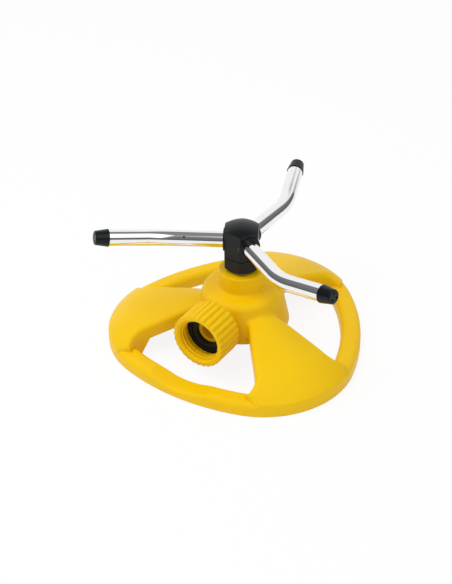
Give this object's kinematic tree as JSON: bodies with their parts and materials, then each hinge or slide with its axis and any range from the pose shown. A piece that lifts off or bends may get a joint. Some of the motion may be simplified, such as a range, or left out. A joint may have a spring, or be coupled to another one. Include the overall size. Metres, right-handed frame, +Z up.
{
  "type": "rotary lawn sprinkler",
  "caption": "Rotary lawn sprinkler: a moulded ring base with a turret and swivel hose nut carries a spinning hexagonal hub with bent chromed spray arms.",
  "frame": {"origin": "on the rotor's axis, at the level of the ground under the ring", "axes": "+Z up along the rotor's axis, -Y out of the hose inlet, +X to the right seen from the inlet"},
  "size_m": [0.1641, 0.1635, 0.0824],
  "materials": {
    "yellow_plastic": "satin",
    "black_plastic": "satin",
    "chromed_tube": "polished",
    "black_rubber": "matt",
    "brass": "turned",
    "white_plastic": "matt"
  },
  "bodies": {
    "base": {"base": "yellow_plastic", "inlet_nipple": "yellow_plastic", "nipple_seal": "black_rubber", "spindle": "brass", "spindle_seal": "black_rubber", "thrust_washer": "white_plastic"},
    "coupling": {"coupling_nut": "yellow_plastic", "hose_washer": "black_rubber"},
    "rotor": {"rotor_hub": "black_plastic", "rotor_collar": "black_plastic", "rotor_seal": "black_rubber", "arm_tube_1": "chromed_tube", "tube_seal_1": "black_rubber", "nozzle_cap_1": "black_plastic", "arm_tube_2": "chromed_tube", "tube_seal_2": "black_rubber", "nozzle_cap_2": "black_plastic", "arm_tube_3": "chromed_tube", "tube_seal_3": "black_rubber", "nozzle_cap_3": "black_plastic"}
  },
  "joints": [
    {"name": "rotor_spin", "type": "hinge", "parent": "base", "child": "rotor", "pos_m": [0, 0, 0.0707], "axis": [0, 0, 1], "continuous": true},
    {"name": "coupling_spin", "type": "hinge", "parent": "base", "child": "coupling", "pos_m": [0, -0.04515, 0.0253], "axis": [0, -1, 0], "continuous": true}
  ]
}
